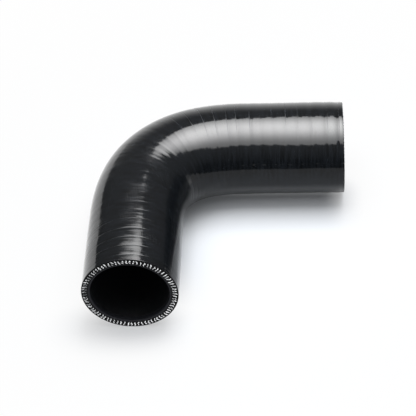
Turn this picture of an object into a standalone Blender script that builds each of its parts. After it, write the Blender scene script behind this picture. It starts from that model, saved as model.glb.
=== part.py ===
"""A 90 degree elbow hose of fabric-reinforced silicone rubber, lying flat on z = 0, in metres.

The hose is one cured piece: rubber and woven plies laid up on a bent mandrel, wrapped in tape while it
cured, pulled off, and cut square at both ends. The tape leaves a band all round at each of its laps.

The wall is a sleeve of rings square to the centreline. They run along the cover from the front leg's cut
end to the side leg's, cross that cut face, and come back along the bore to where they began.

The hose lies as it would on a bench, with its bend in the ground plane: the front leg points along -Y and
the side leg along +X. The origin is under the middle of its footprint.
"""

import math

import bmesh
import bpy
import numpy as np
from mathutils import Matrix, Vector

# Sizes of the tube
BORE_DIAMETER = 0.038
WALL = 0.0042

# The route: each leg runs from the corner, where the legs' axes would cross, to its cut end
FRONT_LEG = 0.102
SIDE_LEG = 0.102
BEND_ANGLE = 90.0
BEND_RADIUS = 0.040
BEND_EASE = 0.036

# Marks of the curing tape: the band between two laps, and how far a lap presses into the cover
WRAP_PITCH = 0.0064
WRAP_RELIEF = 0.0001

# How finely the surface is divided: corners round a ring, rings round the bore's bend, steps along the curve
RING_SIDES = 48
BORE_BEND_RINGS = 21
CURVE_STEPS = 600

# The last ring closes on the first within this distance, and edges sharper than this angle show as corners
MERGE_DISTANCE = 0.00001
SHARP_EDGE_DEGREES = 40.0

# What follows from the sizes
BORE_RADIUS = BORE_DIAMETER / 2
COVER_RADIUS = BORE_RADIUS + WALL
BEND_TURN = math.radians(BEND_ANGLE)


def clear_scene():
    """Remove every object, so that the file holds the hose alone."""
    for thing in list(bpy.data.objects):
        bpy.data.objects.remove(thing, do_unlink=True)


def running_sum(values, steps):
    """Area under values, by trapezia, from the first value to each of the others."""
    return np.concatenate([[0.0], np.cumsum((values[1:] + values[:-1]) / 2 * steps)])


class Centreline:
    """The hose's centreline, seen from above, with the corner of the legs' axes at (0, 0).

    A hose bends as its mandrel does: the curvature builds up evenly over BEND_EASE, holds at BEND_RADIUS,
    and dies away as it began.
    """

    def __init__(self):
        held = BEND_RADIUS * BEND_TURN - BEND_EASE
        bend_length = held + 2 * BEND_EASE
        along = np.linspace(0.0, bend_length, CURVE_STEPS + 1)
        step = along[1]
        from_nearer_end = np.minimum(along, bend_length - along)
        curvature = np.minimum(from_nearer_end / BEND_EASE, 1.0) / BEND_RADIUS
        heading = running_sum(curvature, step)
        x = running_sum(np.sin(heading), step)
        y = running_sum(np.cos(heading), step)

        corner_to_bend = x[-1] / math.sin(BEND_TURN)
        self.bend_start = FRONT_LEG - corner_to_bend
        self.bend_end = self.bend_start + bend_length
        self.length = self.bend_end + SIDE_LEG - corner_to_bend

        side_end = SIDE_LEG * np.array([math.sin(BEND_TURN), math.cos(BEND_TURN)])
        self.along = np.concatenate([[0.0], self.bend_start + along, [self.length]])
        self.heading = np.concatenate([[0.0], heading, [BEND_TURN]])
        self.x = np.concatenate([[0.0], x, [side_end[0]]])
        self.y = np.concatenate([[-FRONT_LEG], y - corner_to_bend, [side_end[1]]])

    def frame(self, along):
        """Matrix of a ring at this distance: Z along the hose, X to the inside of the bend, Y straight down."""
        heading = np.interp(along, self.along, self.heading)
        forward = Vector((math.sin(heading), math.cos(heading), 0.0))
        inward = Vector((math.cos(heading), -math.sin(heading), 0.0))
        down = Vector((0.0, 0.0, -1.0))
        turn = Matrix((inward, down, forward)).transposed().to_4x4()
        place = Vector((np.interp(along, self.along, self.x), np.interp(along, self.along, self.y), 0.0))
        return Matrix.Translation(place) @ turn


def cover_rings(length):
    """(distance, radius) of the rings of the cover: each band of the wrap is full at its middle, low at its laps."""
    bands = round(length / WRAP_PITCH)
    band = length / bands
    rings = [(0.0, COVER_RADIUS)]
    for index in range(bands):
        rings.append(((index + 0.5) * band, COVER_RADIUS))
        if index < bands - 1:
            rings.append(((index + 1) * band, COVER_RADIUS - WRAP_RELIEF))
    rings.append((length, COVER_RADIUS))
    return rings


def bore_rings(centreline):
    """(distance, radius) of the rings of the bore: none are needed between a cut end and the bend."""
    round_the_bend = np.linspace(centreline.bend_start, centreline.bend_end, BORE_BEND_RINGS)
    distances = [0.0, *round_the_bend, centreline.length]
    return [(along, BORE_RADIUS) for along in distances]


def ring_matrix(centreline, along, radius):
    """Matrix that takes a unit circle to a ring of the wall."""
    return centreline.frame(along) @ Matrix.Diagonal((radius, radius, 1.0, 1.0))


def extrude_ring(mesh, ring, move):
    """Extrude the ring's edges, move the new ones, and return them."""
    made = bmesh.ops.extrude_edge_only(mesh, edges=ring)["geom"]
    corners = [part for part in made if isinstance(part, bmesh.types.BMVert)]
    bmesh.ops.transform(mesh, matrix=move, verts=corners)
    return [part for part in made if isinstance(part, bmesh.types.BMEdge)]


def wall_mesh(centreline):
    """The closed wall: a sleeve out along the cover, over the side leg's cut face, and back along the bore."""
    profile = cover_rings(centreline.length) + bore_rings(centreline)[::-1]
    matrices = [ring_matrix(centreline, along, radius) for along, radius in profile]
    mesh = bmesh.new()
    bmesh.ops.create_circle(mesh, segments=RING_SIDES, radius=1.0, matrix=matrices[0])
    ring = mesh.edges[:]
    for here, following in zip(matrices, matrices[1:] + matrices[:1]):
        ring = extrude_ring(mesh, ring, following @ here.inverted())
    bmesh.ops.remove_doubles(mesh, verts=mesh.verts, dist=MERGE_DISTANCE)
    bmesh.ops.recalc_face_normals(mesh, faces=mesh.faces)
    data = bpy.data.meshes.new("elbow_hose")
    mesh.to_mesh(data)
    mesh.free()
    data.shade_smooth()
    data.set_sharp_from_angle(angle=math.radians(SHARP_EDGE_DEGREES))
    return data


def silicone_rubber():
    """Black silicone rubber, glossy where the curing tape pressed it."""
    material = bpy.data.materials.new("silicone_rubber")
    material.use_nodes = True
    shader = material.node_tree.nodes["Principled BSDF"]
    shader.inputs["Base Color"].default_value = (0.011, 0.012, 0.015, 1.0)
    shader.inputs["Roughness"].default_value = 0.34
    shader.inputs["Metallic"].default_value = 0.0
    shader.inputs["IOR"].default_value = 1.41
    return material


def footprint_middle(data):
    """Middle of the box round the mesh, seen from above."""
    places = np.empty(len(data.vertices) * 3, dtype=np.float32)
    data.vertices.foreach_get("co", places)
    places = places.reshape(-1, 3)
    return (places.min(axis=0) + places.max(axis=0)) / 2


def build_hose():
    """Model the hose and lay it on the ground with its footprint centred on the origin."""
    data = wall_mesh(Centreline())
    data.materials.append(silicone_rubber())
    hose = bpy.data.objects.new("elbow_hose", data)
    bpy.context.scene.collection.objects.link(hose)
    middle = footprint_middle(data)
    hose.location = (-middle[0], -middle[1], COVER_RADIUS)
    return hose


clear_scene()
build_hose()
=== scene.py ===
"""Looks of a 90 degree elbow hose of fabric-reinforced silicone rubber, and the studio it lies in.

The hose is one cured piece. Its cover was pressed smooth and glossy by a tape wound round it while it
cured, and shows a band for each turn of the tape. Its ends were cut square with a knife, so that the cut
faces show the cover, the woven plies with their pale yarn ends, and the liner. Its bore is as satin as the
mandrel it cured on. Lengths are in metres unless a name ends in _mm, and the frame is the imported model's.
"""

import logging
import math
from collections.abc import Callable, Mapping
from dataclasses import dataclass, field
from enum import Enum
from functools import partial

import bpy
import numpy as np
from mathutils import Matrix, Vector

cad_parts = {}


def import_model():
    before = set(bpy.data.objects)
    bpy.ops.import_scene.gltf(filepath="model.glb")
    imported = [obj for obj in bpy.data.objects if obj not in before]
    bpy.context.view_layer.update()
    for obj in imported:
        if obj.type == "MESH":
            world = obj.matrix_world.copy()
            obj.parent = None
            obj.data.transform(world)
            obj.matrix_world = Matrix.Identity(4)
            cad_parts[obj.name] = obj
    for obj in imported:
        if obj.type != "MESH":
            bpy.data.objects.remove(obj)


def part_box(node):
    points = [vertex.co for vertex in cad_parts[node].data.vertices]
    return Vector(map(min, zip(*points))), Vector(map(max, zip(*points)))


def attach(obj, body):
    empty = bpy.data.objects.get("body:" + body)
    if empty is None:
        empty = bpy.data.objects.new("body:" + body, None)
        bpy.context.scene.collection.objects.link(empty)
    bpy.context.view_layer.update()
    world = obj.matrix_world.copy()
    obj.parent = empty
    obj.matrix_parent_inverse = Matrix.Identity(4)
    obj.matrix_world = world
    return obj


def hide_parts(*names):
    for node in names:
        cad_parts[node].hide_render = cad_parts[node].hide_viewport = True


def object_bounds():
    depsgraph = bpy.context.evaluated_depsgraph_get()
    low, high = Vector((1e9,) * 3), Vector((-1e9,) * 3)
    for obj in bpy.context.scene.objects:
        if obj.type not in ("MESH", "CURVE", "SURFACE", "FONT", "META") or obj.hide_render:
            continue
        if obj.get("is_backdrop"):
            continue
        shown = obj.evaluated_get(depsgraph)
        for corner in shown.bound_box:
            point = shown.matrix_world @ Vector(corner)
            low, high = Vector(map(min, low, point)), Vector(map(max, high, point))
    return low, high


log = logging.getLogger("elbow_hose")

Pair = tuple[float, float]
Triple = tuple[float, float, float]
NodeAdder = Callable[..., bpy.types.Node]

MM = 0.001
BODY = "root"
CAD_NODE = "elbow_hose"


class Mark(Enum):
    """The values that each corner of a mesh holds for its material: the value is the attribute's name."""

    STRAIGHT = "laid_straight"
    TURNS = "tape_turns"
    LAP_SHOW = "lap_show"
    WEAVE_SHOW = "weave_show"
    TONE = "yarn_tone"
    SHADE = "shade_kept"
    GLOW = "glow"


class End(Enum):
    """The hose's two cut ends: the value is the share of the hose's length that lies before it."""

    FRONT = 0.0
    SIDE = 1.0


class Skin(Enum):
    """The three surfaces of the wall: the value is the material's place on the mesh."""

    COVER = 0
    CUT = 1
    BORE = 2


# Small tools for numbers, meshes and materials


def linear(colour: str) -> tuple[float, float, float, float]:
    """Turn an sRGB hex colour into the linear colour that shaders take.

    Args:
        colour: six hex digits after a hash, such as "#1b1c1f".

    Returns:
        Red, green, blue and an alpha of 1: each channel c is ((c + 0.055) / 1.055) ** 2.4, or c / 12.92
        in the deepest shades.
    """
    channels = [int(colour[i:i + 2], 16) / 255 for i in (1, 3, 5)]
    red, green, blue = (c / 12.92 if c <= 0.04045 else ((c + 0.055) / 1.055) ** 2.4 for c in channels)
    return red, green, blue, 1.0


def ease(value: np.ndarray, start: float, stop: float) -> np.ndarray:
    """Smooth step from 0 at start to 1 at stop: 3 t t - 2 t t t, where t is the share of the way."""
    t = np.clip((value - start) / (stop - start), 0.0, 1.0)
    return t * t * (3 - 2 * t)


def bell(off: np.ndarray) -> np.ndarray:
    """Bell curve: exp(-(off ** 2) / 2), where off counts spreads from the middle."""
    return np.exp(-(off ** 2) / 2)


def blend(start: np.ndarray | float, stop: np.ndarray | float, share: np.ndarray) -> np.ndarray:
    """The way from start to stop, gone by a share: start + (stop - start) * share."""
    return start + (stop - start) * share


def smooth_noise(random: np.random.Generator, shape: tuple[int, int], run: Pair | np.ndarray) -> np.ndarray:
    """Draw white noise on a grid, smoothed by a Gaussian, which joins up at the grid's edges.

    Each value is the mean of the noise round it, weighted by exp(-(d / run) ** 2 / 2) in each direction.
    The smoothing is done on the grid's waves, where that weight is exp(-2 (pi run frequency) ** 2).

    Args:
        random: where the noise comes from.
        shape: rows and columns of the grid.
        run: the Gaussian's spread, in rows and in columns.

    Returns:
        The grid, scaled to a mean of 0 and a spread of 1.
    """
    rows = np.fft.fftfreq(shape[0])[:, None]
    columns = np.fft.rfftfreq(shape[1])[None, :]
    keep = np.exp(-2 * (np.pi * run[0] * rows) ** 2 - 2 * (np.pi * run[1] * columns) ** 2)
    smooth = np.fft.irfft2(np.fft.rfft2(random.standard_normal(shape)) * keep, s=shape)
    return (smooth - smooth.mean()) / smooth.std()


def grid_faces(
    rows: int, columns: int, closed_rows: bool = False, closed_columns: bool = False
) -> np.ndarray:
    """Join a grid of corners up to quads.

    Args:
        rows: number of rows of corners.
        columns: number of corners in a row.
        closed_rows: whether the last row also joins the first.
        closed_columns: whether the last corner of a row also joins its first.

    Returns:
        One line of four corner numbers for each quad, row by row.
    """
    row = np.arange(rows if closed_rows else rows - 1)[:, None]
    column = np.arange(columns if closed_columns else columns - 1)[None, :]
    after_row = (row + 1) % rows
    after_column = (column + 1) % columns
    corners = [
        row * columns + column,
        row * columns + after_column,
        after_row * columns + after_column,
        after_row * columns + column,
    ]
    return np.stack([c.ravel() for c in corners], axis=1)


def ring_faces(sides: int) -> np.ndarray:
    """Quads that fill a ring of corners, side by side across it. The number of corners is even."""
    near = np.arange(sides // 2 - 1)
    return np.stack([near, near + 1, sides - 2 - near, sides - 1 - near], axis=1)


def mesh_object(name: str, places: np.ndarray, faces: np.ndarray) -> bpy.types.Object:
    """Make a smooth-shaded mesh object at the origin.

    Args:
        name: name of the object and its mesh.
        places: the corners, with x, y, z along the last axis.
        faces: the quads, as four corner numbers each.

    Returns:
        The object, linked to the scene.
    """
    data = bpy.data.meshes.new(name)
    data.from_pydata(places.reshape(-1, 3), [], faces.tolist())
    data.validate()
    data.shade_smooth()
    piece = bpy.data.objects.new(name, data)
    bpy.context.scene.collection.objects.link(piece)
    return piece


def write_mark(piece: bpy.types.Object, mark: Mark, values: np.ndarray) -> None:
    """Write a value, or three along the last axis, for each corner of a mesh.

    Args:
        piece: the mesh object.
        mark: which of the marks it is.
        values: the values, in the corners' order.
    """
    count = len(piece.data.vertices)
    kind, key = ("FLOAT", "value") if values.size == count else ("FLOAT_VECTOR", "vector")
    attribute = piece.data.attributes.new(mark.value, kind, "POINT")
    attribute.data.foreach_set(key, values.astype(np.float32).ravel())


def add_node(
    tree: bpy.types.NodeTree, kind: str, inputs: Mapping[str | int, object] | None = None, **settings: object
) -> bpy.types.Node:
    """Add a node to a tree.

    Args:
        tree: the tree that gets the node.
        kind: the node's type, without the ShaderNode that it starts with.
        inputs: what each input gets, by its name or number: a value, an output of another node, or a
            node, which stands for its first output in use.
        settings: values for the node's own properties.

    Returns:
        The new node.
    """
    node = tree.nodes.new(f"ShaderNode{kind}")
    for name, value in settings.items():
        setattr(node, name, value)
    for key, value in (inputs or {}).items():
        if isinstance(value, bpy.types.Node):
            value = next(output for output in value.outputs if output.enabled)
        if isinstance(value, bpy.types.NodeSocket):
            tree.links.new(value, node.inputs[key])
        else:
            node.inputs[key].default_value = value
    return node


def new_material(name: str) -> tuple[bpy.types.Material, NodeAdder]:
    """Make an empty node material.

    Args:
        name: the material's name.

    Returns:
        The material, and add_node for its tree.
    """
    material = bpy.data.materials.new(name)
    material.use_nodes = True
    material.node_tree.nodes.clear()
    return material, partial(add_node, material.node_tree)


def grain(
    node: NodeAdder, place: bpy.types.NodeSocket, size_mm: Pair, detail: float, roughness: float = 0.5
) -> bpy.types.Node:
    """Fill a material with noise whose grains have one size across Z and another along it.

    Args:
        node: adds a node to the material.
        place: the coordinates, in metres.
        size_mm: the grains' size across Z and along Z.
        detail: how many finer layers the noise has.
        roughness: how strong each finer layer is beside the last.

    Returns:
        The noise, from 0 to 1.
    """
    across, along = (1 / (size * MM) for size in size_mm)
    squeezed = node("Mapping", {"Vector": place, "Scale": (across, across, along)})
    return node("TexNoise", {"Vector": squeezed, "Scale": 1.0, "Detail": detail, "Roughness": roughness})


# Finishes of the hose


@dataclass(frozen=True)
class TapeWrappedSilicone:
    """Silicone rubber, cured under a wound tape: near black and glossy, with the tape's fine marks on it.

    The eye gets a clear reflection of the lamp, broken here and there at the laps of the tape by a thin
    line, drawn out round the hose by streaks as fine as the tape's own threads, and stippled on the front
    leg, where the woven ply beneath shows through.
    """

    colour: str = "#090b0d"
    streak_colour: str = "#15181c"
    streak_pale: Pair = (0.36, 0.64)
    streak_mm: Pair = (9.0, 0.8)
    streak_detail: float = 3.0
    streak_layers: float = 0.6
    streak_height_mm: float = 0.015
    roughness: float = 0.095
    roughness_spread: float = 0.025
    roughness_span: Pair = (0.3, 0.7)
    ior: float = 1.42
    lap_line_mm: float = 0.30
    lap_height_mm: float = 0.02
    lap_roughness: float = 0.34
    weave_mm: float = 0.8
    weave_height_mm: float = 0.005
    weave_roughness: float = 0.24

    def material(self, wrap: "TapeWrap", girth: float) -> bpy.types.Material:
        """Build the node material.

        Args:
            wrap: the tape, whose laps the lines follow.
            girth: distance once round the cover.

        Returns:
            The material.
        """
        material, node = new_material("tape_wrapped_silicone")
        straight = node("Attribute", attribute_name=Mark.STRAIGHT.value).outputs["Vector"]
        place = node("SeparateXYZ", {0: straight}).outputs
        angle = node("Math", {0: place["Y"], 1: place["X"]}, operation="ARCTAN2")
        streaks = grain(node, straight, self.streak_mm, self.streak_detail, self.streak_layers)
        line = self.lap_line(node, angle, wrap.width_mm)
        weave = self.weave(node, angle, place["Z"], girth)

        bump = node("Bump", {"Height": streaks, "Distance": self.streak_height_mm * MM})
        bump = node("Bump", {"Height": weave, "Distance": self.weave_height_mm * MM, "Normal": bump})
        sunk = {"Height": line, "Distance": self.lap_height_mm * MM, "Normal": bump}
        bump = node("Bump", sunk, invert=True)

        low, high = self.roughness - self.roughness_spread, self.roughness + self.roughness_spread
        start, stop = self.roughness_span
        span = {"From Min": start, "From Max": stop, "To Min": low, "To Max": high}
        rough = node("MapRange", {"Value": streaks, **span})
        raised = node("Math", {0: weave, 1: 0.0}, operation="MAXIMUM")
        rough = node("Math", {0: raised, 1: self.weave_roughness, 2: rough}, operation="MULTIPLY_ADD")
        rough = node("Mix", {0: line, 2: rough, 3: self.lap_roughness}, data_type="FLOAT")

        start, stop = self.streak_pale
        pale = node("MapRange", {"Value": streaks, "From Min": start, "From Max": stop})
        colours = {6: linear(self.colour), 7: linear(self.streak_colour)}
        colour = node("Mix", {0: pale, **colours}, data_type="RGBA")
        surface = {"Base Color": colour, "Roughness": rough, "IOR": self.ior, "Normal": bump}
        node("OutputMaterial", {"Surface": node("BsdfPrincipled", surface)})
        return material

    def lap_line(self, node: NodeAdder, angle: bpy.types.Node, width_mm: float) -> bpy.types.Node:
        """Draw thin lines along the laps, where they show.

        The tape's turn at each point is what its mark says less the share of a turn gone round. A lap is
        where that is a whole number.

        Args:
            node: adds a node to the material.
            angle: the angle from the top of the hose.
            width_mm: the tape's mean width.

        Returns:
            The lines: 1 on a clear one and 0 off them.
        """
        turns = node("Attribute", attribute_name=Mark.TURNS.value).outputs["Fac"]
        show = node("Attribute", attribute_name=Mark.LAP_SHOW.value).outputs["Fac"]
        turn = node("Math", {0: angle, 1: -1 / math.tau, 2: turns}, operation="MULTIPLY_ADD")
        from_lap = node("Math", {0: turn, 1: 0.5}, operation="PINGPONG")
        fall = {"From Min": 0.0, "From Max": self.lap_line_mm / width_mm, "To Min": 1.0, "To Max": 0.0}
        near = node("MapRange", {"Value": from_lap, **fall}, interpolation_type="SMOOTHSTEP")
        return node("Math", {0: near, 1: show}, operation="MULTIPLY")

    def weave(
        self, node: NodeAdder, angle: bpy.types.Node, along: bpy.types.NodeSocket, girth: float
    ) -> bpy.types.Node:
        """Draw the woven ply as it shows through: sin(a) sin(b), where a and b run along its diagonals.

        A whole number of its cells goes round the hose, so that it meets itself beneath.

        Args:
            node: adds a node to the material.
            angle: the angle from the top of the hose.
            along: the distance along the hose.
            girth: distance once round the cover.

        Returns:
            The weave, from -1 to 1 where it is clearest.
        """
        cells = round(girth / (self.weave_mm * MM))
        factor = math.pi * cells / girth
        show = node("Attribute", attribute_name=Mark.WEAVE_SHOW.value).outputs["Fac"]
        around = node("Math", {0: angle, 1: cells / 2}, operation="MULTIPLY")
        diagonals = [
            node("Math", {0: along, 1: slope, 2: around}, operation="MULTIPLY_ADD")
            for slope in (factor, -factor)
        ]
        first, second = (node("Math", {0: diagonal}, operation="SINE") for diagonal in diagonals)
        cell = node("Math", {0: first, 1: second}, operation="MULTIPLY")
        return node("Math", {0: cell, 1: show}, operation="MULTIPLY")


@dataclass(frozen=True)
class KnifeCutSilicone:
    """The same rubber, cut with a knife: duller than the cover, with the liner a shade greyer."""

    colour: str = "#060708"
    liner_colour: str = "#1b1c20"
    liner_blend_mm: float = 0.2
    roughness: float = 0.55
    ior: float = 1.42
    specular: float = 0.14
    grain_mm: Pair = (0.35, 0.35)
    grain_detail: float = 3.0
    grain_height_mm: float = 0.05

    def material(self, liner_radius: float) -> bpy.types.Material:
        """Build the node material.

        Args:
            liner_radius: how far from the hose's axis the liner reaches.

        Returns:
            The material.
        """
        material, node = new_material("knife_cut_silicone")
        straight = node("Attribute", attribute_name=Mark.STRAIGHT.value).outputs["Vector"]
        flat = node("VectorMath", {0: straight, 1: (1.0, 1.0, 0.0)}, operation="MULTIPLY")
        radius = node("VectorMath", {0: flat}, operation="LENGTH")
        start = liner_radius - self.liner_blend_mm * MM
        fall = {"From Min": start, "From Max": liner_radius, "To Min": 1.0, "To Max": 0.0}
        liner = node("MapRange", {"Value": radius, **fall})
        colours = {6: linear(self.colour), 7: linear(self.liner_colour)}
        colour = node("Mix", {0: liner, **colours}, data_type="RGBA")
        grains = grain(node, straight, self.grain_mm, self.grain_detail)
        bump = node("Bump", {"Height": grains, "Distance": self.grain_height_mm * MM})
        gloss = {"Roughness": self.roughness, "IOR": self.ior, "Specular IOR Level": self.specular}
        shader = node("BsdfPrincipled", {"Base Color": colour, "Normal": bump, **gloss})
        node("OutputMaterial", {"Surface": shader})
        return material


@dataclass(frozen=True)
class MandrelSatinSilicone:
    """The same rubber, cured against a steel mandrel: black and satin, with faint lines drawn along it."""

    colour: str = "#0d0e10"
    roughness: float = 0.5
    ior: float = 1.42
    line_mm: Pair = (0.6, 18.0)
    line_detail: float = 2.0
    line_height_mm: float = 0.01

    def material(self) -> bpy.types.Material:
        """Build the node material."""
        material, node = new_material("mandrel_satin_silicone")
        straight = node("Attribute", attribute_name=Mark.STRAIGHT.value).outputs["Vector"]
        lines = grain(node, straight, self.line_mm, self.line_detail)
        bump = node("Bump", {"Height": lines, "Distance": self.line_height_mm * MM})
        gloss = {"Roughness": self.roughness, "IOR": self.ior}
        shader = node("BsdfPrincipled", {"Base Color": linear(self.colour), "Normal": bump, **gloss})
        node("OutputMaterial", {"Surface": shader})
        return material


@dataclass(frozen=True)
class CutPolyesterYarn:
    """Polyester yarn, cut through: off-white with a grain of filament ends, or dark grey where the tone mark
    is low.

    Real filaments are about 0.02 mm thick, too fine to show, so the grain is drawn coarser.
    """

    pale: str = "#f4f6f8"
    dark_tone: str = "#54585c"
    roughness: float = 0.5
    ior: float = 1.57
    filament_mm: Pair = (0.09, 0.09)
    filament_detail: float = 1.0
    filament_height_mm: float = 0.03

    def material(self) -> bpy.types.Material:
        """Build the node material."""
        material, node = new_material("cut_polyester_yarn")
        tone = node("Attribute", attribute_name=Mark.TONE.value).outputs["Fac"]
        # the tone mark holds painted light as well as each end's own random tone
        colours = {6: linear(self.dark_tone), 7: linear(self.pale)}
        colour = node("Mix", {0: tone, **colours}, data_type="RGBA")
        place = node("TexCoord").outputs["Object"]
        filaments = grain(node, place, self.filament_mm, self.filament_detail)
        bump = node("Bump", {"Height": filaments, "Distance": self.filament_height_mm * MM})
        gloss = {"Roughness": self.roughness, "IOR": self.ior}
        shader = node("BsdfPrincipled", {"Base Color": colour, "Normal": bump, **gloss})
        node("OutputMaterial", {"Surface": shader})
        return material


# The hose


@dataclass
class Centreline:
    """The hose's centreline: two straight legs and a bend, whose curvature eases in and out.

    The legs' axes cross at the corner. The curvature builds up evenly over ease, holds at 1 / radius, and
    dies away as it began, so that the whole bend turns by a right angle. The knife cut each end a degree
    off square: a slant gives the push forward at the axis, and for each unit up and inward.
    """

    corner: Vector
    leg: float
    radius: float = 0.040
    ease: float = 0.036
    turn: float = math.pi / 2
    steps: int = 2400
    front_slant: Triple = (0.0010, 0.0, 0.0)
    side_slant: Triple = (0.0006, 0.0, 0.020)
    slant_reach: float = 0.024
    length: float = field(init=False)

    def __post_init__(self) -> None:
        """Add up the curvature to the heading, and the heading to the places, by trapezia."""
        bend = self.radius * self.turn + self.ease
        along = np.linspace(0.0, bend, self.steps + 1)
        curvature = np.minimum(np.minimum(along, bend - along) / self.ease, 1.0) / self.radius
        heading = self.running_sum(curvature, along[1])
        x = self.running_sum(np.sin(heading), along[1])
        y = self.running_sum(np.cos(heading), along[1])
        straight = self.leg - x[-1]
        self.length = bend + 2 * straight
        self._along = np.concatenate([[0.0], straight + along, [self.length]])
        self._heading = np.concatenate([[0.0], heading, [self.turn]])
        self._x = self.corner.x + np.concatenate([[0.0], x, [self.leg]])
        self._y = self.corner.y + np.concatenate([[-self.leg], y - x[-1], [0.0]])

    @staticmethod
    def running_sum(values: np.ndarray, step: float) -> np.ndarray:
        """Area under values, by trapezia, from the first value to each of the others."""
        return np.concatenate([[0.0], np.cumsum((values[1:] + values[:-1]) / 2 * step)])

    def frames(self, along: np.ndarray) -> tuple[np.ndarray, np.ndarray, np.ndarray]:
        """Find the centreline's place and directions.

        Args:
            along: distances from the front end.

        Returns:
            For each distance its place, the way forward, and the way to the inside of the bend.
        """
        heading = np.interp(along, self._along, self._heading)
        sine, cosine, nothing = np.sin(heading), np.cos(heading), np.zeros_like(heading)
        x = np.interp(along, self._along, self._x)
        y = np.interp(along, self._along, self._y)
        place = np.stack([x, y, np.full_like(x, self.corner.z)], axis=-1)
        forward = np.stack([sine, cosine, nothing], axis=-1)
        inward = np.stack([cosine, -sine, nothing], axis=-1)
        return place, forward, inward

    def points(self, along: np.ndarray, up: np.ndarray, inward: np.ndarray, push: np.ndarray) -> np.ndarray:
        """Find points of the hose: place + up + inward + forward * (push + slant).

        The slant fades out smoothly from each end.

        Args:
            along: distances from the front end, which fit the other arrays.
            up: how far each point lies above the centreline.
            inward: how far it lies towards the inside of the bend.
            push: how far it is moved forward.

        Returns:
            The points, with x, y, z along the last axis.
        """
        place, ahead, aside = self.frames(along)
        for slant, near in (
            (self.front_slant, ease(along, self.slant_reach, 0.0)),
            (self.side_slant, ease(along, self.length - self.slant_reach, self.length)),
        ):
            push = push + near * (slant[0] + slant[1] * up + slant[2] * inward)
        top = np.array([0.0, 0.0, 1.0])
        return place + ahead * push[..., None] + top * up[..., None] + aside * inward[..., None]


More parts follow.
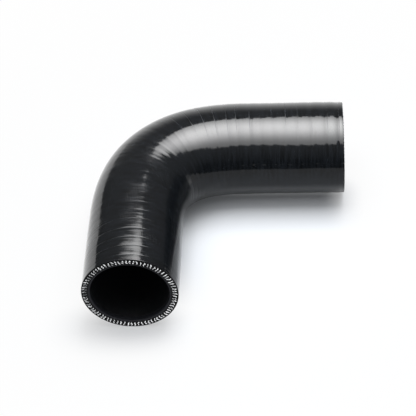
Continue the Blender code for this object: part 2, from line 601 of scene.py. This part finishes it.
@dataclass
class TapeWrap:
    """The marks that the curing tape leaves: a band for each turn, a valley at each lap, and fine streaks.

    The bands nearest the side end have the widths that show there, and the others are near the mean
    width. Heights stand square to the cover.
    """

    side_bands_mm: tuple[float, ...] = (2.1, 5.8, 7.6, 6.8, 6.0, 7.1, 5.8, 5.3, 7.0, 4.7, 6.3)
    width_mm: float = 5.7
    width_spread: float = 0.14
    spare_laps: int = 2
    valley_share: tuple[float, ...] = (0.0, 0.30, 0.42, 0.60, 0.80, 1.0)
    valley_mm: tuple[float, ...] = (0.014, 0.014, 0.024, 0.028, 0.090, 0.140)
    valley_spread: float = 0.35
    valley_run_mm: Pair = (0.6, 1.1)
    streak_mm: float = 0.006
    streak_run_mm: Pair = (0.32, 4.0)
    calm_span: Pair = (0.06, 0.22)
    calm_least: float = 0.4
    ridge_mm: float = 0.006
    ridge_run_mm: Pair = (0.9, 8.0)
    ripple_mm: float = 0.008
    ripple_run_mm: Pair = (1.5, 1.5)
    ripple_span: Pair = (0.55, 0.25)
    wave_mm: float = 0.06
    wave_run_mm: Pair = (7.0, 9.0)
    swell_mm: float = 0.32
    swell_place_mm: float = 63.0
    swell_run_mm: Pair = (24.0, 5.5)
    show_run_mm: Pair = (3.0, 7.0)
    show_steps: Pair = (-2.2, 0.3)
    show_span: Pair = (0.40, 0.60)
    show_front: Pair = (0.28, 0.16)
    show_side: Pair = (0.70, 0.25)
    show_least: Pair = (0.35, 0.15)
    patch_run_mm: Pair = (3.0, 2.2)
    patch_steps: Pair = (-1.2, 1.4)
    seed: int = 7

    def laps(self, length_mm: float) -> tuple[np.ndarray, np.ndarray]:
        """Place the laps along the top of the hose.

        Args:
            length_mm: length of the cover.

        Returns:
            The distance of each lap from the front end, from before the hose to past it, and the depth of
            each lap's valley.
        """
        random = np.random.default_rng(self.seed)
        left = length_mm - sum(self.side_bands_mm)
        count = math.ceil(left / self.width_mm) + self.spare_laps
        others = self.width_mm * (1 + self.width_spread * random.uniform(-1, 1, count))
        back = np.cumsum(np.concatenate([[-self.width_mm], [self.width_mm], self.side_bands_mm, others]))
        distance = (length_mm - back)[::-1]
        depth = np.interp(distance / length_mm, self.valley_share, self.valley_mm)
        depth *= 1 + self.valley_spread * random.uniform(-1, 1, distance.size)
        return distance, depth

    def turns(self, along_mm: np.ndarray, length_mm: float) -> np.ndarray:
        """How many turns of tape lie before each distance along the top of the hose."""
        distance, _ = self.laps(length_mm)
        return np.interp(along_mm, distance, np.arange(distance.size))

    def relief(
        self, along_mm: np.ndarray, angle: np.ndarray, length_mm: float, girth_mm: float
    ) -> np.ndarray:
        """Work out the height of the cover at each point of an even grid.

        A point's turn is the turns before it less the share of a turn gone round, so that the laps run
        round as a helix. Each lap's valley is a bell across it. The front leg is rippled too, but less
        streaked near its end. The bend has a slight swell on top: a bell along the hose, longer before
        its middle than after it, times the cosine of the angle.

        Args:
            along_mm: distance of each row from the front end.
            angle: angle of each column from the top, towards the inside of the bend.
            length_mm: length of the cover.
            girth_mm: distance once round it.

        Returns:
            The heights in millimetres, square to the cover.
        """
        random = np.random.default_rng(self.seed + 1)
        distance, depth = self.laps(length_mm)
        turn = self.turns(along_mm, length_mm)[:, None] - angle[None, :] / math.tau
        nearest = np.rint(turn)
        band_mm = np.interp(turn, np.arange(distance.size - 1) + 0.5, np.diff(distance))
        share = along_mm[:, None] / length_mm
        off_runs = (turn - nearest) * band_mm / np.interp(share, [0.0, 1.0], self.valley_run_mm)
        height = -np.interp(nearest, np.arange(depth.size), depth) * bell(off_runs)
        off_mm = along_mm[:, None] - self.swell_place_mm
        swell = self.swell_mm * bell(off_mm / np.where(off_mm < 0, *self.swell_run_mm))
        height += swell * np.maximum(np.cos(angle), 0.0)
        cell_mm = np.array([along_mm[1] - along_mm[0], girth_mm / angle.size])
        for size, run in (
            (self.streak_mm * np.interp(share, self.calm_span, (self.calm_least, 1.0)), self.streak_run_mm),
            (self.ridge_mm, self.ridge_run_mm),
            (self.wave_mm, self.wave_run_mm),
        ):
            height += size * smooth_noise(random, turn.shape, run / cell_mm)
        ripple = smooth_noise(random, turn.shape, self.ripple_run_mm / cell_mm)
        return height + self.ripple_mm * ripple * ease(share, *self.ripple_span)

    def lap_show(self, share: np.ndarray, angle: np.ndarray, cell_mm: np.ndarray) -> np.ndarray:
        """Work out how far the laps' thin lines show.

        They come and go along each turn, and are clearest on the side leg, near the front end and outside
        the bend.

        Args:
            share: share of the hose's length before each corner of its grid.
            angle: angle of each column from the top.
            cell_mm: the grid's spacing along the hose and round it.

        Returns:
            A value from 0 to 1 for each corner.
        """
        random = np.random.default_rng(self.seed + 2)
        noise = smooth_noise(random, share.shape, self.show_run_mm / cell_mm)
        least_leg, least_side = self.show_least
        legs = np.maximum(ease(share, *self.show_span), ease(share, *self.show_front))
        sides = ease(np.sin(angle), *self.show_side)
        return ease(noise, *self.show_steps) * blend(least_leg, 1.0, legs) * blend(least_side, 1.0, sides)

    def patches(self, shape: tuple[int, int], cell_mm: np.ndarray) -> np.ndarray:
        """Draw soft patches, where the ply beneath shows through.

        Args:
            shape: rows and columns of the cover's grid.
            cell_mm: the grid's spacing along the hose and round it.

        Returns:
            A value from 0 to 1 for each corner.
        """
        random = np.random.default_rng(self.seed + 3)
        noise = smooth_noise(random, shape, self.patch_run_mm / cell_mm)
        return ease(noise, *self.patch_steps)


@dataclass
class Rings:
    """A stack of rings round the centreline, all of one skin.

    Each ring has a distance along the centreline, and each of its corners a radius and a push forward.
    """

    skin: Skin
    along: np.ndarray
    radius: np.ndarray
    push: np.ndarray

    def backwards(self) -> "Rings":
        """The same rings, from the last to the first."""
        return Rings(self.skin, self.along[::-1], self.radius[::-1], self.push[::-1])


@dataclass
class HoseWall:
    """The hose's one wall: cover, cut faces and bore, as one closed surface.

    A ring is drawn at each step of the profile, square to the centreline. The profile runs along the cover
    from the front end to the side end, over a small round at each edge, across the cut face, and back
    along the bore.
    """

    centreline: Centreline
    cover_radius: float
    bore_radius: float = 0.019
    bore_rise: float = 0.0003
    liner_radius: float = 0.0199
    sides: int = 128
    cover_rings: int = 600
    bore_rings: int = 90
    face_rings: int = 18
    edge_mm: float = 0.16
    edge_rings: int = 3
    face_relief_mm: float = 0.035
    face_run: Pair = (3.0, 1.6)
    weave_least: float = 0.08
    weave_span: Pair = (0.62, 0.40)
    weave_start: Pair = (0.03, 0.10)
    seed: int = 11
    wrap: TapeWrap = field(default_factory=TapeWrap)
    angle: np.ndarray = field(init=False)
    relief: np.ndarray = field(init=False)

    def __post_init__(self) -> None:
        """Work out the angles round the hose, and the cover's relief."""
        self.angle = np.linspace(-math.pi, math.pi, self.sides, endpoint=False)
        length_mm = self.centreline.length / MM
        along_mm = np.linspace(0.0, length_mm, self.cover_rings)
        girth_mm = math.tau * self.cover_radius / MM
        self.relief = self.wrap.relief(along_mm, self.angle, length_mm, girth_mm) * MM

    def build(self) -> bpy.types.Object:
        """Make the wall with its three materials and the marks that they read."""
        stacks = [self.cover(), self.end(End.SIDE), self.bore(), self.end(End.FRONT).backwards()]
        along = np.concatenate([stack.along for stack in stacks])
        radius = np.concatenate([stack.radius for stack in stacks])
        push = np.concatenate([stack.push for stack in stacks])
        skin = np.concatenate([np.full(stack.along.size, stack.skin.value) for stack in stacks])
        faces = grid_faces(along.size, self.sides, closed_rows=True, closed_columns=True)
        wall = mesh_object("hose_wall", self.places(along, radius, push), faces)
        self.dress(wall, skin)
        self.mark(wall, along, radius, push)
        return wall

    def cover(self) -> Rings:
        """The cover's rings, from the front end to the side end."""
        edge = self.edge_mm * MM
        along = np.linspace(0.0, self.centreline.length, self.cover_rings)
        along = np.clip(along, edge, self.centreline.length - edge)
        return Rings(Skin.COVER, along, self.cover_radius + self.relief, np.zeros_like(self.relief))

    def bore(self) -> Rings:
        """The bore's rings, from the side end to the front end."""
        edge = self.edge_mm * MM
        along = np.linspace(self.centreline.length - edge, edge, self.bore_rings)[1:-1]
        flat = np.zeros((along.size, self.sides))
        return Rings(Skin.BORE, along, self.bore_reach() + flat, flat)

    def bore_reach(self) -> np.ndarray:
        """The bore's radius at each angle, as seen from the cover's middle: the wall is thinnest on top."""
        return self.bore_radius + self.bore_rise * np.cos(self.angle)

    def end(self, end: End) -> Rings:
        """Work out the rings of one cut end, from the cover to the bore.

        Round an edge the radius falls short of the cover's, or of the bore's, by edge * (1 - cos(t)), and
        the push outwards is edge * sin(t). Across the face the push is uneven by a smooth noise, faded to
        nothing at both edges by sin(pi * share of the way).

        Args:
            end: which of the two ends it is.

        Returns:
            The rings.
        """
        edge = self.edge_mm * MM
        random = np.random.default_rng(self.seed + int(end.value))
        outward, ring = (1.0, -1) if end is End.SIDE else (-1.0, 0)
        t = (np.arange(1, self.edge_rings + 1) / self.edge_rings * math.pi / 2)[:, None]
        share = np.linspace(0.0, 1.0, self.face_rings)[1:, None]
        bore_reach = self.bore_reach()
        round_the_cover = self.cover_radius - edge * (1 - np.cos(t)) + self.relief[ring]
        across = self.cover_radius - edge + (bore_reach + 2 * edge - self.cover_radius) * share
        round_the_bore = bore_reach + edge * (1 - np.sin(t))
        flat = np.zeros((1, self.sides))
        uneven = self.face_relief_mm * MM * smooth_noise(random, (share.size, self.sides), self.face_run)
        radius = np.concatenate([round_the_cover, across, round_the_bore])
        push = np.concatenate([
            edge * np.sin(t) + flat,
            edge + uneven * np.sin(math.pi * share),
            edge * np.cos(t) + flat,
        ])
        along = np.full(radius.shape[0], end.value * self.centreline.length - outward * edge)
        return Rings(Skin.CUT, along, radius, outward * push)

    def places(self, along: np.ndarray, radius: np.ndarray, push: np.ndarray) -> np.ndarray:
        """Corners of the rings: each is radius * cos(angle) up and radius * sin(angle) inward."""
        up, inward = radius * np.cos(self.angle), radius * np.sin(self.angle)
        return self.centreline.points(along[:, None], up, inward, push)

    def dress(self, wall: bpy.types.Object, skin: np.ndarray) -> None:
        """Give the wall its materials: the faces between two rings of one skin have that skin's."""
        for material in (
            TapeWrappedSilicone().material(self.wrap, math.tau * self.cover_radius),
            KnifeCutSilicone().material(self.liner_radius),
            MandrelSatinSilicone().material(),
        ):
            wall.data.materials.append(material)
        face_skin = np.where(skin == np.roll(skin, -1), skin, Skin.CUT.value)
        wall.data.polygons.foreach_set("material_index", np.repeat(face_skin, self.sides).astype(np.int32))

    def mark(self, wall: bpy.types.Object, along: np.ndarray, radius: np.ndarray, push: np.ndarray) -> None:
        """Write each corner's place on the hose laid straight, its turns of tape, and how far marks show."""
        reached = along[:, None] + push
        straight = np.stack([radius * np.cos(self.angle), radius * np.sin(self.angle), reached], axis=-1)
        length = self.centreline.length
        turns = self.wrap.turns(reached / MM, length / MM)
        cell_mm = np.array([length / self.cover_rings, math.tau * self.cover_radius / self.sides]) / MM
        share = reached / length
        lap_show = self.wrap.lap_show(share, self.angle, cell_mm)
        front = ease(share, *self.weave_span) * ease(share, *self.weave_start)
        weave_show = blend(self.weave_least, 1.0, front) * self.wrap.patches(share.shape, cell_mm)
        for mark, values in (
            (Mark.STRAIGHT, straight),
            (Mark.TURNS, turns),
            (Mark.LAP_SHOW, lap_show),
            (Mark.WEAVE_SHOW, weave_show),
        ):
            write_mark(wall, mark, values)


@dataclass(frozen=True)
class PlyRow:
    """One row of cut yarn ends, at a depth from the cover."""

    depth_mm: float
    spacing_mm: float
    half_length_mm: float
    half_width_mm: float
    proud_mm: float
    lean_deg: float
    tone: float


@dataclass
class YarnEnds:
    """The cut ends of the plies' yarns in one cut face, as small closed domes sunk in the rubber.

    Real ones lie closer together, in three rows. Those are too fine to show, so two rows of coarser
    ones stand for them. Neighbours lean the same way, and the lean swings over from stretch to stretch.
    Their tone differs at random. The painted light round gives how much lighter they are at the top, inside
    the
    bend, at the bottom and outside the bend: lighter at the bottom, a painted light where the face is lit
    least, and darker at the top, inside the bend and most of all outside it.
    """

    centreline: Centreline
    cover_radius: float
    rows: tuple[PlyRow, ...] = (
        PlyRow(1.25, 1.74, 0.72, 0.26, 0.27, 38.0, 1.16),
        PlyRow(2.34, 1.66, 0.64, 0.23, 0.23, 40.0, 1.00),
    )
    swing_run: float = 2.2
    swing_gain: float = 1.5
    lean_spread_deg: float = 14.0
    place_spread: float = 0.14
    length_spread: float = 0.35
    width_spread: float = 0.25
    proud_spread: float = 0.4
    bow_spread: float = 0.5
    depth_spread_mm: float = 0.15
    tone_spread: float = 0.35
    painted_light_round: tuple[float, ...] = (-0.26, -0.20, 0.30, -0.80)
    rings: int = 5
    sides: int = 10
    pole: float = 0.02
    seed: int = 21

    def build(self, end: End) -> bpy.types.Object:
        """Make the yarn ends of one cut face.

        Args:
            end: which of the two cut faces they are in.

        Returns:
            One object with every yarn end of that face.
        """
        random = np.random.default_rng(self.seed + int(end.value))
        blocks = [self.domes(row, random) for row in self.rows]
        up, inward, out = np.moveaxis(np.concatenate([block for block, _ in blocks]), -1, 0)
        tone = np.concatenate([tones for _, tones in blocks])
        along = np.full_like(up, end.value * self.centreline.length)
        places = self.centreline.points(along, up, inward, out if end is End.SIDE else -out)
        corners = (self.rings + 1) * self.sides
        pole = ring_faces(self.sides)
        skin = grid_faces(self.rings + 1, self.sides, closed_columns=True)
        faces = np.concatenate([skin, pole[:, ::-1], pole + self.rings * self.sides])
        if end is End.FRONT:
            faces = faces[:, ::-1]
        faces = faces[None, :, :] + np.arange(places.shape[0])[:, None, None] * corners
        yarn = mesh_object(f"yarn_ends_{end.name.lower()}", places, faces.reshape(-1, 4))
        write_mark(yarn, Mark.TONE, np.repeat(tone, corners))
        yarn.data.materials.append(CutPolyesterYarn().material())
        return yarn

    def domes(self, row: PlyRow, random: np.random.Generator) -> tuple[np.ndarray, np.ndarray]:
        """Work out the corners of one row's yarn ends, in the cut face's plane.

        Each is an ellipsoid, x = half length * sin(p) cos(q), y = half width * sin(p) sin(q) and z = proud
        height * cos(p), bowed by adding bow * x * x to y, turned by its lean, and set on the row's circle.

        Args:
            row: the row's sizes.
            random: where the unevenness comes from.

        Returns:
            The corners as (yarn end, ring, side, up / inward / outward), and each yarn end's tone.
        """
        ring_radius = self.cover_radius / MM - row.depth_mm
        count = round(math.tau * ring_radius / row.spacing_mm)

        def uneven(spread: float) -> np.ndarray:
            """One even random number for each yarn end, between -spread and spread."""
            return random.uniform(-spread, spread, count)

        theta = (np.arange(count) + uneven(self.place_spread)) * math.tau / count
        swing = smooth_noise(random, (1, count), (0.0, self.swing_run))[0]
        lean_deg = row.lean_deg * np.tanh(self.swing_gain * swing) + uneven(self.lean_spread_deg)
        lean = math.pi / 2 + np.radians(lean_deg)
        length = row.half_length_mm * (1 + uneven(self.length_spread))
        width = row.half_width_mm * (1 + uneven(self.width_spread))
        proud = row.proud_mm * (1 + uneven(self.proud_spread))
        bow = uneven(self.bow_spread)
        depth = ring_radius + uneven(self.depth_spread_mm)
        # painted light: the yarn ends are lighter at the bottom of the face, where it is lit least, and
        # darker towards the outside of the bend
        quarters = np.arange(len(self.painted_light_round)) * math.tau / len(self.painted_light_round)
        level = row.tone + np.interp(theta, quarters, self.painted_light_round, period=math.tau)
        tone = level + uneven(self.tone_spread)

        p = np.linspace(self.pole, math.pi - self.pole, self.rings + 1)[None, :, None]
        q = np.linspace(0.0, math.tau, self.sides, endpoint=False)[None, None, :]
        length, width, proud, bow, lean, theta, depth = (
            v[:, None, None] for v in (length, width, proud, bow, lean, theta, depth)
        )
        x = length * np.sin(p) * np.cos(q)
        y = width * np.sin(p) * np.sin(q) + bow * x * x
        z = proud * np.cos(p) * np.ones_like(q)
        tangent = x * np.cos(lean) - y * np.sin(lean)
        radial = depth + x * np.sin(lean) + y * np.cos(lean)
        up = radial * np.cos(theta) - tangent * np.sin(theta)
        inward = radial * np.sin(theta) + tangent * np.cos(theta)
        return np.stack([up, inward, z], axis=-1) * MM, np.clip(tone, 0.0, 1.0)


# The studio


@dataclass
class PhotoCamera:
    """A long lens from the front, looking down on the hose. Angles are in degrees."""

    yaw: float = -4.811
    pitch: float = 44.099
    roll: float = 4.058
    aim: Triple = (-0.00428, -0.00412, 0.0232)
    distance: float = 0.8698
    lens_mm: float = 151.9
    sensor_mm: float = 36.0
    clip: Pair = (0.05, 20.0)

    def build(self) -> None:
        """Set up the camera: forward is yaw from +Y and pitch down, and roll turns the frame clockwise."""
        yaw, pitch, roll = (math.radians(a) for a in (self.yaw, self.pitch, self.roll))
        level = Vector((math.cos(yaw), -math.sin(yaw), 0.0))
        ahead = Vector((math.sin(yaw), math.cos(yaw), 0.0))
        forward = ahead * math.cos(pitch) - Vector((0.0, 0.0, math.sin(pitch)))
        down = forward.cross(level)
        right = level * math.cos(roll) + down * math.sin(roll)
        below = down * math.cos(roll) - level * math.sin(roll)
        data = bpy.data.cameras.new("camera")
        data.lens = self.lens_mm
        data.sensor_width = self.sensor_mm
        data.clip_start, data.clip_end = self.clip
        camera = bpy.data.objects.new("camera", data)
        turn = Matrix((right, -below, -forward)).transposed().to_4x4()
        camera.matrix_world = Matrix.Translation(Vector(self.aim) - forward * self.distance) @ turn
        bpy.context.scene.collection.objects.link(camera)
        bpy.context.scene.camera = camera


@dataclass
class Lamp:
    """A rectangular lamp, which lights things but isn't seen, by the camera or in gloss."""

    name: str
    size: Pair
    place: Triple
    radiance: float
    turn: Triple = (0.0, 0.0, 0.0)

    def build(self) -> None:
        """Set up the lamp: its power is radiance * pi * area."""
        data = bpy.data.lights.new(self.name, "AREA")
        data.shape = "RECTANGLE"
        data.size, data.size_y = self.size
        data.energy = self.radiance * math.pi * data.size * data.size_y
        lamp = bpy.data.objects.new(self.name, data)
        lamp.location = self.place
        lamp.rotation_euler = self.turn
        for ray in ("camera", "glossy", "transmission"):
            setattr(lamp, f"visible_{ray}", False)
        bpy.context.scene.collection.objects.link(lamp)


@dataclass
class GlossCard:
    """A card that shows in glossy reflections alone, and glows there by its marks: 1 is white."""

    name: str
    places: np.ndarray
    faces: np.ndarray
    glow: np.ndarray

    def build(self) -> None:
        """Make the card and its material."""
        card = mesh_object(self.name, self.places, self.faces)
        write_mark(card, Mark.GLOW, self.glow)
        material, node = new_material(f"{self.name}_cloth")
        glow = node("Attribute", attribute_name=Mark.GLOW.value).outputs["Fac"]
        node("OutputMaterial", {"Surface": node("Emission", {"Strength": glow})})
        material.cycles.emission_sampling = "NONE"
        card.data.materials.append(material)
        for ray in ("camera", "diffuse", "transmission", "shadow", "volume_scatter"):
            setattr(card, f"visible_{ray}", False)
        card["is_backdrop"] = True


@dataclass
class Softbox:
    """One large softbox overhead, with its bulb behind its middle, as two lamps and a face for gloss.

    The face is stretched between its front and back edges, each given by points from left to right.
    Radiances are given as the picture shows them, where 1 is white.
    """

    size: Pair = (0.395, 0.3935)
    place: Triple = (0.031, 0.02025, 0.300)
    radiance: float = 1.2
    bulb_size: Pair = (0.20, 0.20)
    bulb_radiance: float = 5.15
    back_edge: tuple[Pair, ...] = (
        (-0.170, 0.188), (-0.020, 0.192), (0.054, 0.238),
        (0.100, 0.197), (0.155, 0.132), (0.204, 0.060),
    )
    front_edge: tuple[Pair, ...] = (
        (-0.170, -0.170), (-0.020, -0.186), (0.078, -0.214),
        (0.110, -0.150), (0.160, -0.100), (0.204, -0.050),
    )
    face_cells: int = 48
    face_radiance: float = 3.5
    spot_radiance: float = 17.3
    spot_spread: Pair = (0.076, 0.086)
    spot_middle: Pair = (0.030, 0.057)

    def build(self) -> None:
        """Set up both lamps and the face."""
        Lamp("softbox", self.size, self.place, self.radiance).build()
        Lamp("bulb", self.bulb_size, (*self.spot_middle, self.place[2]), self.bulb_radiance).build()
        self.face()

    def face(self) -> None:
        """Make the face: its glow is even, with a bell-shaped bright middle added."""
        share = np.linspace(0.0, 1.0, self.face_cells + 1)
        knots = np.linspace(0.0, 1.0, len(self.front_edge))
        front, back = (
            np.stack([np.interp(share, knots, line) for line in zip(*edge)], axis=-1)
            for edge in (self.front_edge, self.back_edge)
        )
        x, y = np.moveaxis(blend(front[:, None], back[:, None], share[None, :, None]), -1, 0)
        (middle_x, middle_y), (spread_x, spread_y) = self.spot_middle, self.spot_spread
        off = np.hypot((x - middle_x) / spread_x, (y - middle_y) / spread_y)
        glow = self.face_radiance + self.spot_radiance * bell(off)
        places = np.stack([x, y, np.full_like(x, self.place[2])], axis=-1)
        GlossCard("softbox_face", places, grid_faces(*x.shape), glow).build()


@dataclass
class Paper:
    """White paper, whose shadow is kept within the elbow and fades to white on the open sides.

    Places are measured from the corner of the hose's axes: x to the right of it and y behind it. Each
    pair of them is where a smooth step starts and ends. In glosses, 1 is white.
    """

    hose: Centreline
    half: float = 4.0
    drop: float = 0.0002
    cells: int = 260
    stretch: float = 5.0
    colour: Triple = (0.92, 0.955, 1.0)
    gloss_dark: float = 0.03
    gloss_plain: float = 0.60
    gloss_behind: float = 1.34
    gloss_painted_light_foot: float = 1.30
    gloss_beside: float = 0.5
    gloss_painted_shade_under: float = 0.75
    behind_x: Pair = (-0.006, -0.036)
    behind_y: Pair = (0.006, 0.036)
    foot_x: Pair = (0.020, 0.040)
    foot_y: Pair = (-0.033, -0.020)
    beside_x: Pair = (0.050, 0.036)
    under_x: Pair = (0.0, 0.020)
    under_front_y: Pair = (-0.018, -0.009)
    under_back_y: Pair = (0.012, 0.004)
    left_x: Pair = (-0.0606, -0.1206)
    front_y: Pair = (-0.152, -0.148)
    elbow_left_x: Pair = (-0.040, 0.010)
    elbow_right_x: Pair = (0.119, 0.091)
    elbow_front_y: Pair = (-0.102, -0.052)
    elbow_back_y: Pair = (0.008, -0.012)
    shade_least: float = 0.12
    shade_reach: float = 0.11
    shade_end: float = 0.66
    shade_end_spread: Pair = (0.024, 0.0105)

    def build(self) -> None:
        """Lay the paper.

        The grid's lines are close under the hose and wide far off: they lie at
        half * sinh(stretch * t) / sinh(stretch), with t from -1 to 1.
        """
        t = np.linspace(-1.0, 1.0, self.cells + 1)
        line = self.half * np.sinh(self.stretch * t) / math.sinh(self.stretch)
        x, y = np.meshgrid(line, line, indexing="xy")
        places = np.stack([x, y, np.full_like(x, -self.drop)], axis=-1)
        paper = mesh_object("paper", places, grid_faces(*x.shape))
        x, y = x - self.hose.corner.x, y - self.hose.corner.y
        write_mark(paper, Mark.SHADE, self.shade_kept(x, y))
        write_mark(paper, Mark.GLOW, self.gloss_level(x, y))
        paper.data.materials.append(self.material())
        paper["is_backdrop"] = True

    def material(self) -> bpy.types.Material:
        """Build the paper's material: matt where its shadow is kept, and plain white elsewhere."""
        material, node = new_material("white_paper")
        glossy = node("LightPath").outputs["Is Glossy Ray"]
        kept = node("Attribute", attribute_name=Mark.SHADE.value).outputs["Fac"]
        glow = node("Attribute", attribute_name=Mark.GLOW.value).outputs["Fac"]
        level = node("Mix", {0: glossy, 2: 1.0, 3: glow}, data_type="FLOAT")
        colour = node("VectorMath", {0: self.colour, "Scale": level}, operation="SCALE")
        matt = node("BsdfDiffuse", {"Color": colour})
        white = node("Emission", {"Strength": level})
        node("OutputMaterial", {"Surface": node("MixShader", {0: kept, 1: white, 2: matt})})
        material.cycles.emission_sampling = "NONE"
        return material

    def shade_kept(self, x: np.ndarray, y: np.ndarray) -> np.ndarray:
        """Work out the share of the hose's shadow that the picture keeps at each place.

        It is 1 within the elbow, fades over smooth steps towards the open sides, and has a bell-shaped
        patch under the front end. Elsewhere a faint bell-shaped share is kept round the whole hose.

        Args:
            x: how far each place lies to the right of the corner.
            y: how far it lies behind the corner.

        Returns:
            The share, from 0 to 1.
        """
        elbow = ease(x, *self.elbow_left_x) * ease(x, *self.elbow_right_x)
        elbow = elbow * ease(y, *self.elbow_front_y) * ease(y, *self.elbow_back_y)
        spread_x, spread_y = self.shade_end_spread
        end = self.shade_end * bell(np.hypot(x / spread_x, (y + self.hose.leg) / spread_y))
        off = np.hypot(x + self.hose.corner.x, y + self.hose.corner.y)
        faint = self.shade_least * bell(off / self.shade_reach)
        return np.maximum(elbow, np.maximum(end, faint))

    def gloss_level(self, x: np.ndarray, y: np.ndarray) -> np.ndarray:
        """Work out how bright each place is, as gloss shows it.

        The paper is brightest behind the hose and to its left, and along the side leg's foot, where the
        light is painted. It is less bright beside the front leg, plain elsewhere near the hose, and dark in
        front of the hose and under the side leg, where the shade is painted.

        Args:
            x: how far each place lies to the right of the corner.
            y: how far it lies behind the corner.

        Returns:
            The brightness.
        """
        behind = np.maximum(ease(x, *self.behind_x), ease(y, *self.behind_y))
        beside = self.gloss_beside * ease(x, *self.beside_x)
        foot = ease(y, *self.foot_y) * ease(x, *self.foot_x)
        under = ease(y, *self.under_front_y) * ease(y, *self.under_back_y) * ease(x, *self.under_x)
        level = blend(self.gloss_plain, self.gloss_behind, np.maximum(behind, beside))
        # painted light: the paper is brighter in gloss along the side leg's foot
        level = np.maximum(level, blend(self.gloss_plain, self.gloss_painted_light_foot, foot))
        # painted shade: the paper is darker in gloss under the side leg
        level = level * (1 - self.gloss_painted_shade_under * under)
        return blend(self.gloss_dark, level, np.maximum(ease(y, *self.front_y), ease(x, *self.left_x)))


@dataclass
class Room:
    """The room as gloss shows it: a dome, dark but for a white sweep behind the hose.

    Each glow runs evenly from its first value to its second over its rise, in shares of the dome's
    radius. The front and the sweep fade into the walls over their ways, by smooth steps.
    """

    radius: float = 3.0
    cells: tuple[int, int] = (65, 192)
    top: float = math.pi / 2 - 0.01
    wall_glow: Pair = (0.10, 0.35)
    wall_rise: Pair = (0.0, 0.70)
    front_glow: Pair = (0.03, 0.33)
    front_rise: Pair = (0.15, 0.70)
    front_way: Pair = (-0.3, -0.8)
    sweep_glow: Pair = (1.40, 0.40)
    sweep_rise: Pair = (0.0, 0.52)
    sweep_way: Pair = (0.80, 0.97)

    def build(self) -> None:
        """Make the dome, from the floor to nearly its top."""
        rows, columns = self.cells
        rise = np.linspace(0.0, self.top, rows)[:, None]
        way = np.linspace(0.0, math.tau, columns, endpoint=False)[None, :]
        x, y, z = np.cos(rise) * np.cos(way), np.cos(rise) * np.sin(way), np.sin(rise) * np.ones_like(way)
        wall = np.interp(z, self.wall_rise, self.wall_glow)
        front = np.interp(z, self.front_rise, self.front_glow)
        sweep = np.interp(z, self.sweep_rise, self.sweep_glow)
        glow = blend(blend(wall, front, ease(y, *self.front_way)), sweep, ease(y, *self.sweep_way))
        faces = grid_faces(rows, columns, closed_columns=True)[:, ::-1]
        GlossCard("room", self.radius * np.stack([x, y, z], axis=-1), faces, glow).build()


@dataclass
class Studio:
    """White paper under a large softbox, in a dark room, with a card low in front of the hose."""

    hose: Centreline
    card_size: Pair = (0.8, 0.14)
    card_place: Triple = (-0.06, -0.30, 0.07)
    card_turn: Triple = (math.pi / 2, 0.0, 0.0)
    card_radiance: float = 2.6
    fill_radiance: float = 0.056

    def build(self) -> None:
        """Set up the softbox, the card, the paper, the room and the world."""
        Softbox().build()
        Lamp("front_card", self.card_size, self.card_place, self.card_radiance, self.card_turn).build()
        Paper(self.hose).build()
        Room().build()
        self.world()
        bpy.context.scene.view_settings.view_transform = "Standard"

    def world(self) -> None:
        """Set up a faint fill light, and white wherever the camera sees past the paper."""
        world = bpy.data.worlds.new("studio")
        world.use_nodes = True
        world.node_tree.nodes.clear()
        node = partial(add_node, world.node_tree)
        path = node("LightPath").outputs
        seen = path["Is Camera Ray"]
        for way in ("Is Transmission Ray", "Is Glossy Ray"):
            seen = node("Math", {0: seen, 1: path[way]}, operation="MAXIMUM")
        strength = node("Mix", {0: seen, 2: self.fill_radiance, 3: 1.0}, data_type="FLOAT")
        light = node("Background", {"Color": (1.0, 1.0, 1.0, 1.0), "Strength": strength})
        node("OutputWorld", {"Surface": light})
        bpy.context.scene.world = world


# The whole


def hose_centreline(low: Vector, high: Vector) -> tuple[Centreline, float]:
    """Work out the centreline and the cover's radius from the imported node's box.

    Args:
        low: the box's lowest corner.
        high: the box's highest corner.

    Returns:
        The centreline and the radius.
    """
    radius = (high.z - low.z) / 2
    corner = Vector((low.x + radius, high.y - radius, low.z + radius))
    return Centreline(corner, leg=high.x - corner.x), radius


def build_hose(centreline: Centreline, cover_radius: float) -> list[bpy.types.Object]:
    """Make the wall and the yarn ends, and hand them to the frame.

    Args:
        centreline: the hose's centreline.
        cover_radius: the cover's radius.

    Returns:
        The pieces.
    """
    wall = HoseWall(centreline, cover_radius).build()
    yarns = YarnEnds(centreline, cover_radius)
    pieces = [wall, *(yarns.build(end) for end in End)]
    for piece in pieces:
        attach(piece, BODY)
    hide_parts(CAD_NODE)
    return pieces


def main() -> None:
    """Build the camera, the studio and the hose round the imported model."""
    logging.basicConfig(level=logging.INFO, format="%(name)s %(message)s")
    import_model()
    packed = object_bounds()
    centreline, cover_radius = hose_centreline(*(Vector(corner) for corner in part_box(CAD_NODE)))
    PhotoCamera().build()
    Studio(centreline).build()
    for piece in build_hose(centreline, cover_radius):
        corners, faces = len(piece.data.vertices), len(piece.data.polygons)
        log.info("%s: %d corners, %d faces", piece.name, corners, faces)
    boxes = {"packed": packed, "shown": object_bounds()}
    boxes = {name: [list(corner) for corner in box] for name, box in boxes.items()}


if __name__ == "__main__":
    main()
